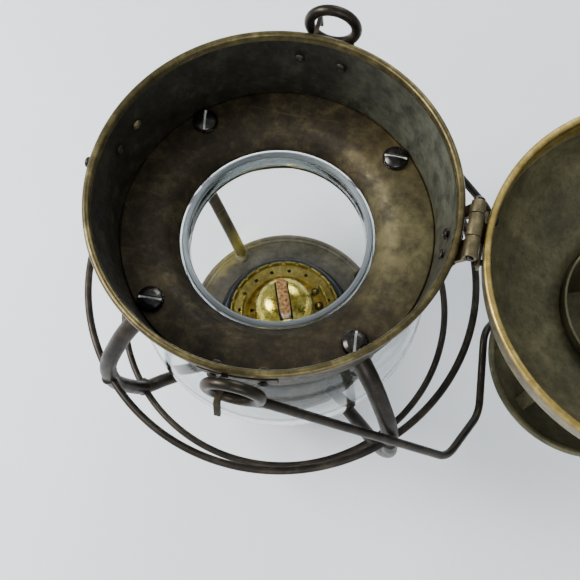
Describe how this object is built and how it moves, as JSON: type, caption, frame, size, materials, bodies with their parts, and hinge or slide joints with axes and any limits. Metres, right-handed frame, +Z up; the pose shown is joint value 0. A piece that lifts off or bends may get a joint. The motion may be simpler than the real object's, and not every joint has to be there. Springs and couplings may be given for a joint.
{
  "type": "railway lantern",
  "caption": "Old brass railway hand lantern with clear globe, wire guard cage, flat-wick burner and wire bail, standing with its chimney lid swung open.",
  "frame": {"origin": "centre of the underside of the fount, on the globe's axis, level with the foot of the base drum", "axes": "+Z up along the globe's axis; +X towards the lid hinge; -X towards the latch stud; the bail ears lie on +Y and -Y"},
  "size_m": [0.3337, 0.194, 0.2175],
  "materials": {
    "dark_patina": "dark olive-brown mottled patina, satin",
    "cage_bronze": "dark bronze patina, satin, worn bright at the joints",
    "dark_steel": "dark oiled steel, glossy",
    "bright_brass": "yellow brass, rubbed bright",
    "aged_brass": "aged beige-bronze brass, satin",
    "drum_grey": "grey-brown weathered metal, matt",
    "lid_tin": "greenish grey weathered metal, matt",
    "clear_glass": "clear, ground at the neck edges",
    "seal_rubber": "black with a blue-grey sheen",
    "wick_cotton": "tan woven cotton, frayed top"
  },
  "bodies": {
    "lantern": {"collar_shell": "dark_patina", "crown_plate": "dark_patina", "front_ear_bracket": "dark_patina", "back_ear_bracket": "dark_patina", "latch_plate": "dark_patina", "guard_rod_1": "cage_bronze", "guard_rod_2": "cage_bronze", "guard_rod_3": "cage_bronze", "guard_rod_4": "cage_bronze", "upper_guard_ring": "cage_bronze", "lower_guard_ring": "cage_bronze", "latch_stud": "cage_bronze", "ear_rivet_1": "cage_bronze", "ear_rivet_2": "cage_bronze", "ear_rivet_3": "cage_bronze", "ear_rivet_4": "cage_bronze", "collar_hinge_rivet_1": "cage_bronze", "collar_hinge_rivet_2": "cage_bronze", "crown_screw_1": "dark_steel", "crown_screw_2": "dark_steel", "crown_screw_3": "dark_steel", "crown_screw_4": "dark_steel", "hinge_pin": "dark_steel", "burner_gallery": "bright_brass", "gallery_clip_left": "bright_brass", "gallery_clip_right": "bright_brass", "burner_dome": "bright_brass", "burner_collar": "aged_brass", "burner_body": "aged_brass", "wick_tube": "aged_brass", "hinge_collar_leaf": "aged_brass", "latch_rivet_1": "aged_brass", "latch_rivet_2": "aged_brass", "base_housing": "drum_grey", "fount_tank": "lid_tin", "glass_globe": "clear_glass", "seal_ring": "seal_rubber"},
    "lid": {"hinge_lid_leaf": "aged_brass", "lid_hinge_rivet_1": "cage_bronze", "lid_hinge_rivet_2": "cage_bronze", "lid_skirt": "aged_brass", "lid_dome": "lid_tin", "chimney_stack": "lid_tin", "chimney_cap": "lid_tin", "cap_leg_1": "lid_tin", "cap_leg_2": "lid_tin", "cap_leg_3": "lid_tin", "cap_leg_4": "lid_tin", "hasp_bracket": "aged_brass", "hasp_pin": "dark_steel"},
    "hasp": {"lid_hasp": "aged_brass"},
    "bail": {"bail_wire": "cage_bronze", "bail_ring_front": "cage_bronze", "bail_ring_back": "cage_bronze"},
    "wick_spindle": {"wick_spindle": "dark_steel", "wick_knob": "bright_brass"},
    "wick": {"wick": "wick_cotton"}
  },
  "joints": [
    {"name": "lid_hinge", "type": "hinge", "parent": "lantern", "child": "lid", "pos_m": [0.079, 0, 0.2073], "axis": [0, -1, 0], "range_deg": [0, 180]},
    {"name": "bail_swing", "type": "hinge", "parent": "lantern", "child": "bail", "pos_m": [0.005, 0, 0.205], "axis": [0, -1, 0], "range_deg": [0, 108]},
    {"name": "hasp_swing", "type": "hinge", "parent": "lid", "child": "hasp", "pos_m": [0.235, 0, 0.2036], "axis": [0, -1, 0], "range_deg": [0, 180]},
    {"name": "spindle_turn", "type": "hinge", "parent": "lantern", "child": "wick_spindle", "pos_m": [-0.02869, 0.05312, 0.03], "axis": [-0.3746, 0.9272, 0], "range_deg": [-43, 86]},
    {"name": "wick_lift", "type": "slide", "parent": "lantern", "child": "wick", "axis": [0, 0, 1], "range_m": [-0.0061, 0.0031]}
  ],
  "couplings": [
    {"joint": "bail_swing", "follows": "lid_hinge", "ratio": 0.6},
    {"joint": "wick_lift", "follows": "spindle_turn", "m_per_rad": -0.004}
  ]
}
